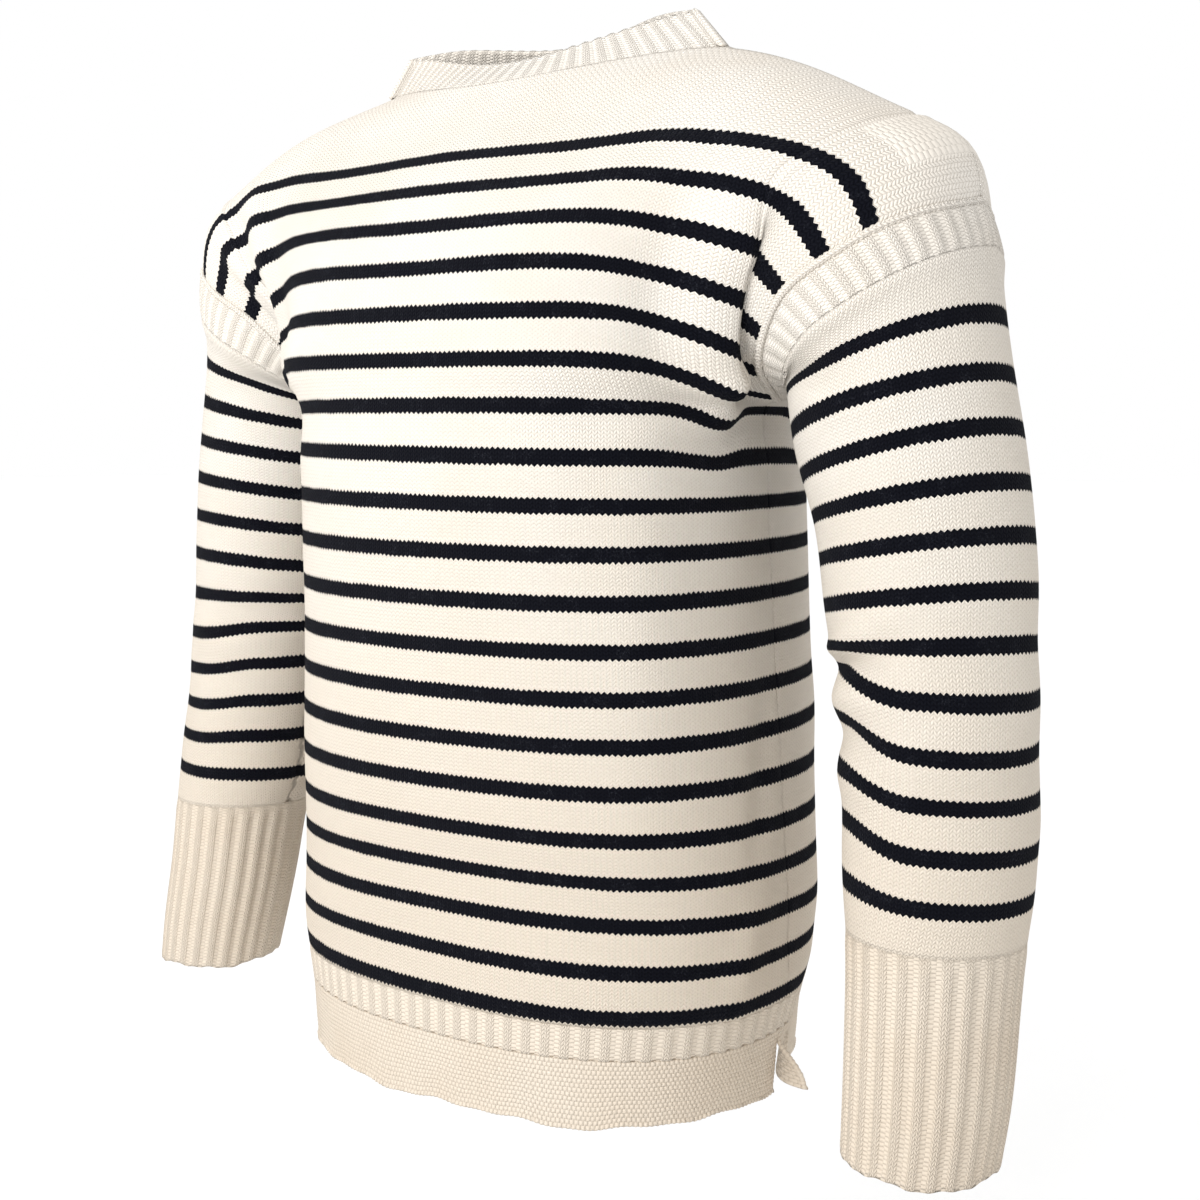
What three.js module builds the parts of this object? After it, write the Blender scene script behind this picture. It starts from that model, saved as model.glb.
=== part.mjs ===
// Guernsey fisherman sweater, hollow and filled out, standing in the shape of its wearer.
// Millimetres. +Z up, the front faces -Y, +X is the wearer's left.
// The origin is the middle of the neck opening, where the shoulders carry the garment.
import * as THREE from 'three';

// ---- driving dimensions -------------------------------------------------------------
const WALL = 3.0; // knitted wall
const SEAM_GAP = 0.34; // between neighbouring pieces
const HALF_WIDTH = 256; // centre front to side seam, along the knitting
const YOKE_LINE = 212; // centre front to the inner edge of the armhole band
const NECK_HALF = 104; // centre front to the neck end of the shoulder seam
const HEM_ROW = -404; // rows are heights along the knitting from the chest line
const WELT_ROW = -362;
const ARMPIT_ROW = 56;
const BREAK_ROW = 196; // above this row the rows close up towards the neckline
const SHOULDER_ROW = 269;
const NECK_FRONT_ROW = 258;
const NECK_BACK_ROW = 263;
const COLLAR = { height: 29, lean: 0.11, leanDeep: 0.08 };
const CUFF_TOP = 395; // distances down the sleeve from the armhole seam
const CUFF_END = 510;
const NECK_DATUM = { y: -8, z: 283 }; // middle of the neck in the table frame
const BACK = { flatter: 0.03, midline: -8, neckRise: 12 };

const COLUMN_STATIONS = [0, 28, 56, 84, 112, 140, 176, 212, 234, 256];
const BODY_ROWS = [-362, -336, -308, -280, -246, -210, -168, -126, -84, -42, 0, 28];
const ARMHOLE_ROWS = [56, 76, 96, 116, 136, 156, 176, 196, 214, 232, 250, 269];
const SLEEVE_STEPS = [0, 14, 30, 47, 75, 103, 131, 159, 187, 215, 243, 271, 299, 327, 360, 395];
const CUFF_STEPS = [395, 430, 470, 510];
const WELT_STEPS = [-404, -383, -362];
const COLLAR_STEPS = [0, 0.5, 1];

const table = (names, rows) => rows.map((row) =>
  Object.fromEntries(names.split(' ').map((name, i) => [name, row[i]])));

// Body tube below the armpits: a superellipse at each row, with the lean of the row.
const TUBE = table('row height tiltX tiltY halfWide front back power', [
  [-404, -360, 0.030, -0.020, 172, 130, 128, 2.45],
  [-359, -316, 0.020, -0.030, 176, 131, 130, 2.45],
  [-336, -290, 0.016, -0.030, 182, 131, 131, 2.45],
  [-308, -264, 0.013, -0.040, 182, 130, 130, 2.45],
  [-280, -237, 0.014, -0.050, 182, 131, 131, 2.45],
  [-224, -182, 0.010, -0.020, 178, 135, 135, 2.45],
  [-168, -122, 0.002, 0.010, 174, 138, 138, 2.45],
  [-112, -66, 0.000, 0.015, 170, 141, 141, 2.45],
  [-56, -9, -0.010, 0.013, 166, 145, 145, 2.45],
  [0, 47, -0.020, 0.010, 163, 148, 146, 2.45],
  [28, 74, -0.010, 0.000, 161, 149, 147, 2.45],
]);

// Yoke above the armpits: five stations along each row, centre (c), quarter (q),
// chest turn (r), inner edge of the armhole band (m) and armhole seam (e).
const YOKE = table('row yc zc xq yq zq xr yr zr xm ym zm xe ye ze bow', [
  [56, -150, 100, 100, -137, 100, 146, -97, 97, 157, -57, 90, 176, -8, 82, -2],
  [84, -148, 127, 98, -133, 127, 143, -98, 123, 158, -66, 107, 184, -40, 95, -2],
  [112, -143, 153, 99, -130, 154, 146, -100, 150, 165, -74, 134, 196, -60, 114, 0],
  [140, -134, 178, 101, -124, 180, 152, -103, 179, 182, -85, 163, 215, -73, 136, 2],
  [168, -121, 200, 104, -113, 203, 163, -101, 204, 206, -88, 187, 241, -77, 152, 6],
  [196, -103, 222, 107, -97, 225, 176, -90, 228, 229, -80, 210, 265, -70, 167, 9],
  [224, -83, 243, 111, -74, 248, 188, -66, 248, 247, -60, 224, 284, -54, 177, 10],
  [254, -62, 267, 116, -38, 274, 197, -33, 262, 258, -32, 234, 296, -26, 184, 12],
  [269, -52, 276, 121, -8, 285, 201, -8, 267, 262, -8, 238, 299, -6, 187, 12],
]);
const YOKE_STATIONS = [0, 106, 170, YOKE_LINE];

// Sleeve rings down the arm: centre, half sizes and lean of each ring.
const LEFT_ARM = table('down x y z wide deep tiltX tiltY', [
  [30, 246, -8, 119, 60, 64, 0.60, -0.02],
  [61, 251, -8, 99, 60, 60, 0.36, -0.05],
  [89, 256, -9, 71, 61, 59, 0.29, -0.08],
  [117, 262, -9, 44, 60.5, 58, 0.26, -0.09],
  [145, 268, -9, 18, 59, 57, 0.21, -0.08],
  [173, 272, -9, -8, 58.5, 56, 0.17, -0.08],
  [201, 275, -9, -36, 58, 56, 0.14, -0.09],
  [229, 278, -10, -62, 56, 55, 0.09, -0.08],
  [257, 281, -11, -86, 56, 55, -0.03, -0.02],
  [285, 283, -13, -113, 55, 55, -0.07, 0.02],
  [313, 286, -15, -141, 54, 54, -0.04, -0.01],
  [341, 288, -18, -169, 53, 53, -0.02, -0.02],
  [369, 289, -21, -197, 52, 52, -0.02, -0.02],
  [395, 290, -24, -223, 49, 50, 0, -0.02],
  [440, 292, -32, -269, 46, 48, 0, 0],
  [485, 294, -42, -317, 44, 46, 0, 0],
  [510, 294, -48, -343, 42, 44, 0, 0],
]);
const RIGHT_ARM = table('down x y z wide deep tiltX tiltY', [
  [30, 243, -8, 119, 58, 64, 0.58, -0.02],
  [61, 246, -8, 99, 58, 60, 0.34, -0.05],
  [89, 248, -9, 75, 61, 59, 0.20, -0.03],
  [117, 254, -9, 48, 60.5, 58, 0.15, -0.04],
  [145, 260, -9, 20, 59, 57, 0.13, -0.06],
  [173, 264, -9, -8, 58.5, 56, 0.10, -0.07],
  [201, 267, -9, -36, 58, 56, 0.08, -0.07],
  [229, 270, -10, -64, 56, 55, 0.02, -0.05],
  [257, 273, -11, -91, 56, 55, -0.03, -0.02],
  [285, 275, -13, -118, 55, 55, -0.03, -0.01],
  [313, 278, -15, -145, 54, 54, 0.00, -0.01],
  [341, 282, -18, -171, 53, 53, 0.03, -0.02],
  [369, 285, -21, -198, 52, 52, 0.04, -0.04],
  [395, 290, -24, -223, 49, 50, 0, -0.02],
  [440, 292, -32, -269, 46, 48, 0, 0],
  [485, 294, -42, -317, 44, 46, 0, 0],
  [510, 294, -48, -343, 42, 44, 0, 0],
]);
const ARM_BLEND = 45; // length over which the armhole shape gives way to the arm rings
// Direction the sleeve leaves the armhole, on the shoulder and under the arm.
const ARMHOLE_WAY = { top: { x: 0.45, z: -0.90 }, under: { x: 0.95, z: -0.25 } };

// ---- interpolation ------------------------------------------------------------------
// Natural cubic spline through (knots, values); each value is an array of numbers.
function spline(knots, values) {
  const n = knots.length;
  const size = values[0].length;
  const second = Array.from({ length: n }, () => new Array(size).fill(0));
  const upper = new Array(n).fill(0);
  const right = Array.from({ length: n }, () => new Array(size).fill(0));
  for (let i = 1; i < n - 1; i += 1) {
    const before = knots[i] - knots[i - 1];
    const after = knots[i + 1] - knots[i];
    const pivot = 2 * (before + after) - before * upper[i - 1];
    upper[i] = after / pivot;
    for (let k = 0; k < size; k += 1) {
      const bend = (values[i + 1][k] - values[i][k]) / after
        - (values[i][k] - values[i - 1][k]) / before;
      right[i][k] = (6 * bend - before * right[i - 1][k]) / pivot;
    }
  }
  for (let i = n - 2; i > 0; i -= 1) {
    for (let k = 0; k < size; k += 1) {
      second[i][k] = right[i][k] - upper[i] * second[i + 1][k];
    }
  }
  return (at) => {
    let i = 0;
    while (i < n - 2 && at > knots[i + 1]) i += 1;
    const h = knots[i + 1] - knots[i];
    const a = (knots[i + 1] - at) / h;
    const b = 1 - a;
    const ca = ((a ** 3 - a) * h * h) / 6;
    const cb = ((b ** 3 - b) * h * h) / 6;
    return values[i].map((v, k) =>
      a * v + b * values[i + 1][k] + ca * second[i][k] + cb * second[i + 1][k]);
  };
}

function linear(rows, key, at) {
  let i = 0;
  while (i < rows.length - 2 && at > rows[i + 1][key]) i += 1;
  const w = Math.min(1, Math.max(0, (at - rows[i][key]) / (rows[i + 1][key] - rows[i][key])));
  const names = Object.keys(rows[i]);
  return Object.fromEntries(names.map((name) =>
    [name, rows[i][name] * (1 - w) + rows[i + 1][name] * w]));
}

// Points at the given arc fractions along a quarter of a superellipse, from (0, deep).
function quarterRing(wide, deep, power, fractions) {
  const steps = 180;
  const xs = [0];
  const ys = [deep];
  const run = [0];
  for (let i = 1; i <= steps; i += 1) {
    const angle = (i / steps) * (Math.PI / 2);
    xs.push(wide * Math.sin(angle) ** (2 / power));
    ys.push(i === steps ? 0 : deep * Math.cos(angle) ** (2 / power));
    run.push(run[i - 1] + Math.hypot(xs[i] - xs[i - 1], ys[i] - ys[i - 1]));
  }
  return fractions.map((fraction) => {
    const goal = fraction * run[steps];
    let i = 0;
    while (i < steps - 1 && goal > run[i + 1]) i += 1;
    const w = (goal - run[i]) / (run[i + 1] - run[i]);
    return [xs[i] + (xs[i + 1] - xs[i]) * w, ys[i] + (ys[i + 1] - ys[i]) * w];
  });
}

// ---- body surface -------------------------------------------------------------------
const yokeSpan = (row) => Math.min(1, Math.max(0, (row - ARMPIT_ROW) / (SHOULDER_ROW - ARMPIT_ROW)));

// The back mirrors the front about the shoulder line and stands higher at the neck.
function toBack(point, row, across) {
  const rise = yokeSpan(row);
  const inner = Math.max(0, 1 - (across / NECK_HALF) ** 2);
  return [
    point[0],
    2 * BACK.midline * rise - point[1] * (1 - BACK.flatter * (1 - rise)),
    point[2] + BACK.neckRise * rise * inner,
  ];
}

function tubeHalfRow(row, isBack) {
  const r = linear(TUBE, 'row', row);
  const deep = isBack ? r.back : r.front;
  const fractions = COLUMN_STATIONS.map((s) => s / HALF_WIDTH);
  const way = isBack ? 1 : -1;
  return {
    points: quarterRing(r.halfWide, deep, r.power, fractions)
      .map(([x, y]) => [x, way * y, r.height]),
    tiltX: r.tiltX,
    tiltY: r.tiltY,
  };
}

function yokeHalfRow(row, isBack) {
  const r = linear(YOKE, 'row', row);
  const centre = [0, r.yc, r.zc];
  const right = [[r.xq, r.yq, r.zq], [r.xr, r.yr, r.zr], [r.xm, r.ym, r.zm]];
  const left = right.map(([x, y, z]) => [-x, y, z]).reverse();
  const knots = YOKE_STATIONS.slice(1).map((s) => -s).reverse().concat(YOKE_STATIONS);
  const across = spline(knots, [...left, centre, ...right]);
  const points = COLUMN_STATIONS.slice(0, 8).map((s) => across(s));
  const inner = right[2];
  const seam = [r.xe, r.ye, r.ze];
  const dx = seam[0] - inner[0];
  const dz = seam[2] - inner[2];
  const length = Math.hypot(dx, dz);
  points.push([
    (inner[0] + seam[0]) / 2 - (dz / length) * r.bow,
    (inner[1] + seam[1]) / 2,
    (inner[2] + seam[2]) / 2 + (dx / length) * r.bow,
  ]);
  points.push(seam);
  const done = isBack ? points.map((p, i) => toBack(p, row, COLUMN_STATIONS[i])) : points;
  return { points: done, tiltX: 0, tiltY: 0 };
}

const NET_ROWS = [-404, -383, -362, -336, -308, -280, -252, -224, -196, -168, -140, -112, -84,
  -56, -28, 0, 28, 56, 84, 112, 140, 168, 196, 224, 254, 269];

function bodySurface(isBack) {
  const knots = COLUMN_STATIONS.slice(1).map((s) => -s).reverse().concat(COLUMN_STATIONS);
  const net = NET_ROWS.map((row) => {
    const half = row < ARMPIT_ROW ? tubeHalfRow(row, isBack) : yokeHalfRow(row, isBack);
    const mirrored = half.points.slice(1).map(([x, y, z]) => [-x, y, z]).reverse();
    return mirrored.concat(half.points)
      .flatMap(([x, y, z]) => [x, y, z + half.tiltX * x + half.tiltY * y]);
  });
  const up = spline(NET_ROWS, net);
  return (across, row) => {
    const flat = up(row);
    const points = knots.map((_, i) => flat.slice(3 * i, 3 * i + 3));
    return spline(knots, points)(across);
  };
}

const surfaces = { front: bodySurface(false), back: bodySurface(true) };

function necklineRow(across, isBack) {
  const low = isBack ? NECK_BACK_ROW : NECK_FRONT_ROW;
  const w = Math.min(1, Math.abs(across) / NECK_HALF);
  return low + (SHOULDER_ROW - low) * w * w;
}

// Row lines above BREAK_ROW close up so that the top one follows the neckline.
function panelRow(row, across, isBack) {
  if (row <= BREAK_ROW) return row;
  const w = (row - BREAK_ROW) / (SHOULDER_ROW - BREAK_ROW);
  return BREAK_ROW + (necklineRow(across, isBack) - BREAK_ROW) * w;
}

// Shoulder and neckline points are shared: the shoulder seam is the front's own top edge.
function panelPoint(across, row, isBack) {
  const side = isBack ? 'back' : 'front';
  const onSeam = Math.abs(across) === HALF_WIDTH || row === SHOULDER_ROW;
  const outside = Math.abs(across) >= NECK_HALF;
  if (isBack && row === SHOULDER_ROW && outside) return panelPoint(across, row, false);
  if (isBack && Math.abs(across) === HALF_WIDTH && row <= ARMPIT_ROW) {
    return panelPoint(across, row, false);
  }
  const at = onSeam && outside ? row : panelRow(row, across, isBack);
  return surfaces[side](across, at);
}

// ---- sleeve surface -----------------------------------------------------------------
// Ring order: over the front from the shoulder to the armpit, then up the back.
const RING = ARMHOLE_ROWS.slice().reverse().map((row) => ({ row, isBack: false }))
  .concat(ARMHOLE_ROWS.slice(1, -1).map((row) => ({ row, isBack: true })));
const RING_ANGLE = RING.map(({ row, isBack }) => {
  const half = Math.PI * (1 - yokeSpan(row));
  return isBack ? 2 * Math.PI - half : half;
});

function armPoint(arm, side, index, down) {
  const seam = panelPoint(side * HALF_WIDTH, RING[index].row, RING[index].isBack);
  const names = Object.keys(arm[0]).slice(1);
  const way = spline(arm.map((r) => r.down), arm.map((r) => names.map((name) => r[name])));
  const [x, y, z, wide, deep, tiltX, tiltY] = way(Math.max(down, arm[0].down));
  const dx = wide * Math.cos(RING_ANGLE[index]);
  const dy = -deep * Math.sin(RING_ANGLE[index]);
  const ring = [side * (x + dx), y + dy, z + tiltX * dx + tiltY * dy];
  const w = Math.min(1, Math.max(0, 1 - down / ARM_BLEND));
  const blend = w * w * (3 - 2 * w);
  const under = ((1 - Math.cos(RING_ANGLE[index])) / 2) ** 2;
  const wayX = side * (ARMHOLE_WAY.top.x * (1 - under) + ARMHOLE_WAY.under.x * under);
  const wayZ = ARMHOLE_WAY.top.z * (1 - under) + ARMHOLE_WAY.under.z * under;
  const start = [seam[0] + wayX * down, seam[1], seam[2] + wayZ * down];
  const short = Math.min(0, down - arm[0].down);
  ring[0] += wayX * short;
  ring[2] += wayZ * short;
  return ring.map((v, i) => v * (1 - blend) + start[i] * blend);
}

// ---- collar surface -----------------------------------------------------------------
const NECK_COLUMNS = [-104, -88, -70, -52, -34, -17, 0, 17, 34, 52, 70, 88, 104];
const NECK_RING = NECK_COLUMNS.map((across) => ({ across, isBack: false }))
  .concat(NECK_COLUMNS.slice(1, -1).reverse().map((across) => ({ across, isBack: true })));

function collarPoint(index, share) {
  const { across, isBack } = NECK_RING[index];
  const [x, y, z] = panelPoint(across, SHOULDER_ROW, isBack);
  return [
    x * (1 - COLLAR.lean * share),
    NECK_DATUM.y + (y - NECK_DATUM.y) * (1 - COLLAR.leanDeep * share),
    z + COLLAR.height * share,
  ];
}

// ---- pieces: a grid of middle-surface points each -----------------------------------
const OUTER_COLUMNS = [130, 158, 186, 212, 234, 256];
const PANEL_COLUMNS = [
  ...OUTER_COLUMNS.map((s) => -s).reverse(), ...NECK_COLUMNS, ...OUTER_COLUMNS];
const PANEL_ROWS = [...BODY_ROWS, ...ARMHOLE_ROWS];

const panelGrid = (rows, isBack) =>
  rows.map((row) => PANEL_COLUMNS.map((across) => panelPoint(across, row, isBack)));
const tubeGrid = (steps, count, pointAt) =>
  steps.map((step) => Array.from({ length: count }, (_, i) => pointAt(i, step)));
const sleeveGrid = (arm, side, steps) =>
  tubeGrid(steps, RING.length, (i, down) => armPoint(arm, side, i, down));

const PIECES = [
  { name: 'front_body', grid: panelGrid(PANEL_ROWS, false), closed: false, turn: 1 },
  { name: 'back_body', grid: panelGrid(PANEL_ROWS, true), closed: false, turn: -1 },
  { name: 'front_welt', grid: panelGrid(WELT_STEPS, false), closed: false, turn: 1 },
  { name: 'back_welt', grid: panelGrid(WELT_STEPS, true), closed: false, turn: -1 },
  { name: 'left_sleeve', grid: sleeveGrid(LEFT_ARM, 1, SLEEVE_STEPS), closed: true, turn: 1 },
  { name: 'right_sleeve', grid: sleeveGrid(RIGHT_ARM, -1, SLEEVE_STEPS), closed: true, turn: -1 },
  { name: 'left_cuff', grid: sleeveGrid(LEFT_ARM, 1, CUFF_STEPS), closed: true, turn: 1 },
  { name: 'right_cuff', grid: sleeveGrid(RIGHT_ARM, -1, CUFF_STEPS), closed: true, turn: -1 },
  { name: 'collar', grid: tubeGrid(COLLAR_STEPS, NECK_RING.length, collarPoint), closed: true, turn: 1 },
];

// ---- solids -------------------------------------------------------------------------
const keyOf = (p) => p.map((v) => Math.round(v * 50)).join(' ');
const vector = (p) => new THREE.Vector3(p[0], p[1], p[2]);

function quads(grid, closed) {
  const list = [];
  const columns = grid[0].length;
  for (let j = 0; j + 1 < grid.length; j += 1) {
    for (let i = 0; i < (closed ? columns : columns - 1); i += 1) {
      const k = (i + 1) % columns;
      list.push([[j, i], [j, k], [j + 1, k], [j + 1, i]]);
    }
  }
  return list;
}

// Outward directions: each piece adds one unit vector, so that pieces agree along a seam.
function sharedNormals(pieces) {
  const sums = new Map();
  for (const { grid, closed, turn } of pieces) {
    const own = new Map();
    for (const corners of quads(grid, closed)) {
      const [a, b, c, d] = corners.map(([j, i]) => vector(grid[j][i]));
      const normal = c.sub(a).cross(d.sub(b)).multiplyScalar(turn);
      for (const [j, i] of corners) {
        const key = keyOf(grid[j][i]);
        if (!own.has(key)) own.set(key, new THREE.Vector3());
        own.get(key).add(normal);
      }
    }
    for (const [key, normal] of own) {
      if (!sums.has(key)) sums.set(key, new THREE.Vector3());
      sums.get(key).add(normal.normalize());
    }
  }
  return sums;
}

// Edge points drawn back by half the seam gap, along their own surface.
function drawnBack(grid, closed) {
  const rows = grid.length;
  const columns = grid[0].length;
  const pull = (from, towards, p) => {
    const step = vector(towards).sub(vector(from)).setLength(SEAM_GAP / 2);
    return [p[0] + step.x, p[1] + step.y, p[2] + step.z];
  };
  return grid.map((line, j) => line.map((point, i) => {
    let p = point;
    if (j === 0) p = pull(point, grid[1][i], p);
    if (j === rows - 1) p = pull(point, grid[rows - 2][i], p);
    if (!closed && i === 0) p = pull(point, line[1], p);
    if (!closed && i === columns - 1) p = pull(point, line[columns - 2], p);
    return p;
  }));
}

function shell({ grid, closed, turn }, normals) {
  const rows = grid.length;
  const columns = grid[0].length;
  const drawn = drawnBack(grid, closed);
  const position = [];
  for (const way of [1, -1]) {
    drawn.forEach((line, j) => line.forEach((p, i) => {
      const n = normals.get(keyOf(grid[j][i])).clone().normalize();
      position.push(
        p[0] + (way * n.x * WALL) / 2,
        p[1] + (way * n.y * WALL) / 2 - NECK_DATUM.y,
        p[2] + (way * n.z * WALL) / 2 - NECK_DATUM.z,
      );
    }));
  }
  const at = (layer, j, i) => layer * rows * columns + j * columns + (i % columns);
  const index = [];
  const quad = (a, b, c, d) => {
    if (turn > 0) index.push(a, b, c, a, c, d);
    else index.push(a, c, b, a, d, c);
  };
  for (const [[j, i], [, k]] of quads(grid, closed)) {
    quad(at(0, j, i), at(0, j, k), at(0, j + 1, k), at(0, j + 1, i));
    quad(at(1, j, i), at(1, j + 1, i), at(1, j + 1, k), at(1, j, k));
  }
  // Seam walls: neighbouring pieces split each wall along the same diagonal.
  const wall = (from, to) => {
    const [a0, a1] = [at(0, ...from), at(1, ...from)];
    const [b0, b1] = [at(0, ...to), at(1, ...to)];
    const first = keyOf(grid[from[0]][from[1] % columns]) < keyOf(grid[to[0]][to[1] % columns]);
    if (first) quad(a1, b1, b0, a0);
    else quad(b1, b0, a0, a1);
  };
  const last = closed ? columns : columns - 1;
  for (let i = 0; i < last; i += 1) {
    wall([0, i], [0, i + 1]);
    wall([rows - 1, i + 1], [rows - 1, i]);
  }
  for (let j = 0; !closed && j + 1 < rows; j += 1) {
    wall([j + 1, 0], [j, 0]);
    wall([j, columns - 1], [j + 1, columns - 1]);
  }
  const geometry = new THREE.BufferGeometry();
  geometry.setAttribute('position', new THREE.Float32BufferAttribute(position, 3));
  geometry.setIndex(index);
  geometry.computeVertexNormals();
  return geometry;
}

const group = new THREE.Group();
group.name = 'guernsey_sweater';
const normals = sharedNormals(PIECES);
for (const piece of PIECES) {
  const material = new THREE.MeshStandardMaterial({ color: 0xebe1cf, roughness: 0.95 });
  material.name = 'wool';
  const mesh = new THREE.Mesh(shell(piece, normals), material);
  mesh.name = piece.name;
  group.add(mesh);
}

export default group;
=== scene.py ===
import math

import bpy
import numpy as np
from mathutils import Matrix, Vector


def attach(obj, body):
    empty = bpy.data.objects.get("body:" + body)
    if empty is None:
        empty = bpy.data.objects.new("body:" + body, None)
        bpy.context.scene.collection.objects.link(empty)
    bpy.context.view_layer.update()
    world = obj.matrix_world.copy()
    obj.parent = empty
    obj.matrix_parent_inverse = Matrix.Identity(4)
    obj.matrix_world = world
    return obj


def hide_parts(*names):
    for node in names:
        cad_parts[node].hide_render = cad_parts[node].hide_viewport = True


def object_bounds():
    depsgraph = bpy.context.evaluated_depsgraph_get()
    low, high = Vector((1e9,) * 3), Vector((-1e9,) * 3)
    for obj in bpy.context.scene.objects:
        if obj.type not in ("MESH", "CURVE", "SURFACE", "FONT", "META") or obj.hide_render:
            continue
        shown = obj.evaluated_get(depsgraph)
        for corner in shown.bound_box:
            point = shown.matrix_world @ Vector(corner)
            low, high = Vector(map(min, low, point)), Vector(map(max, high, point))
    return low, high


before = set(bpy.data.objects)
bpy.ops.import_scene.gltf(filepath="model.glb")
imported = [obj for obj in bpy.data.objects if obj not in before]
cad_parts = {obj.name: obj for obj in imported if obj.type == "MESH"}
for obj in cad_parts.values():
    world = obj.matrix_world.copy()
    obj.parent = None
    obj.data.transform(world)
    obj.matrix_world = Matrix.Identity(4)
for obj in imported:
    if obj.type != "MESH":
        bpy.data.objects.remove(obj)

cad_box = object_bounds()

# ---- the cut ------------------------------------------------------------------------
# Welts, cuffs and body stretches are the CAD part's. The yoke, shoulders and collar were fitted
# to the photo again, so they stand up to 19 mm off the CAD solids, at the collar's ends.
HALF_WIDTH = 256.0
YOKE_LINE = 212.0
NECK_HALF = 120.0
HEM_ROW = -404.0
WELT_ROW = -361.5
RIB_ROW = -342.0
ARMPIT_ROW = 56.0
BREAK_ROW = 196.0
SHOULDER_ROW = 269.0
NECK_FRONT_ROW = 258.0
NECK_BACK_ROW = 263.0
COLLAR_FRONT = 16.0
COLLAR_BACK = 21.0
COLLAR_ENDS = 24.0
COLLAR_LEAN = 0.15
COLLAR_SLANT = 29.0
COLLAR_LEAN_DEEP = 0.42
HEAD_END = 27.0
CUFF_TOP = 395.0
CUFF_END = 510.0
NECK_DATUM = np.array([0.0, -8.0, 283.0])
BACK_FLATTER = 0.03
BACK_MIDLINE = -8.0
NECK_RISE = 12.0
SEAM_GAP = 0.12

STATIONS = [0, 28, 56, 84, 112, 140, 176, 212, 234, 256]
NET_ROWS = [-404, -383, -362, -336, -308, -280, -252, -224, -196, -168, -140, -112, -84,
            -56, -28, 0, 28, 56, 84, 112, 140, 168, 196, 224, 254, 269]
# row, height, tilt x, tilt y, half width, front, back, power
TUBE = np.array([
    [-404, -360, 0.030, -0.020, 172, 130, 128, 2.45],
    [-359, -316, 0.020, -0.030, 176, 131, 130, 2.45],
    [-336, -290, 0.016, -0.030, 182, 131, 131, 2.45],
    [-308, -264, 0.013, -0.040, 182, 130, 130, 2.45],
    [-280, -237, 0.014, -0.050, 182, 131, 131, 2.45],
    [-224, -182, 0.010, -0.020, 178, 135, 135, 2.45],
    [-168, -122, 0.002, 0.010, 174, 138, 138, 2.45],
    [-112, -66, 0.000, 0.015, 170, 141, 141, 2.45],
    [-56, -9, -0.010, 0.013, 166, 145, 145, 2.45],
    [0, 47, -0.020, 0.010, 163, 148, 146, 2.45],
    [28, 74, -0.010, 0.000, 161, 149, 147, 2.45]])
# row, centre y z, quarter x y z, chest turn x y z, band edge x y z, armhole x y z, bow
YOKE = np.array([
    [56, -150, 100, 100, -137, 100, 146, -97, 97, 157, -57, 90, 176, -8, 82, -2],
    [84, -148, 127, 98, -133, 127, 143, -98, 123, 158, -66, 114, 184, -40, 95, -2],
    [112, -143, 153, 99, -130, 154, 146, -100, 149, 165, -74, 142, 196, -60, 114, 0],
    [140, -134, 178, 101, -124, 179, 152, -103, 175, 182, -85, 168, 215, -73, 136, 2],
    [168, -121, 201, 104, -113, 201, 163, -101, 199, 206, -88, 189, 241, -77, 152, 6],
    [196, -103, 223, 107, -97, 222, 176, -90, 220, 229, -80, 208, 265, -70, 166, 9],
    [224, -83, 245, 111, -76, 246, 188, -68, 242, 247, -60, 222, 284, -54, 176, 10],
    [254, -62, 272, 116, -42, 275, 197, -35, 261, 258, -32, 232, 296, -26, 183, 12],
    [269, -52, 284, 121, -8, 292, 201, -8, 268, 262, -8, 237, 299, -6, 187, 12]])
YOKE_STATIONS = [0, 106, 170, 212]
YOKE_TILT = -0.015
# down, centre x y z, wide, deep, tilt x, tilt y
LEFT_ARM = np.array([
    [30, 246, -8, 119, 60, 64, 0.60, -0.02],
    [61, 251, -8, 99, 60, 60, 0.36, -0.05],
    [89, 256, -9, 71, 61, 59, 0.29, -0.08],
    [117, 262, -9, 44, 60.5, 58, 0.26, -0.09],
    [145, 268, -9, 18, 59, 57, 0.21, -0.08],
    [173, 272, -9, -8, 58.5, 56, 0.17, -0.08],
    [201, 275, -9, -36, 58, 56, 0.14, -0.09],
    [229, 278, -10, -62, 56, 55, 0.09, -0.08],
    [257, 281, -11, -86, 56, 55, -0.03, -0.02],
    [285, 283, -13, -113, 55, 55, -0.07, 0.02],
    [313, 286, -15, -141, 54, 54, -0.04, -0.01],
    [341, 288, -18, -169, 53, 53, -0.02, -0.02],
    [369, 289, -21, -197, 52, 52, -0.02, -0.02],
    [395, 290, -24, -223, 49, 50, 0, -0.02],
    [440, 292, -32, -269, 46, 48, 0, 0],
    [485, 294, -42, -317, 44, 46, 0, 0],
    [510, 294, -48, -343, 42, 44, 0, 0]])
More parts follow.
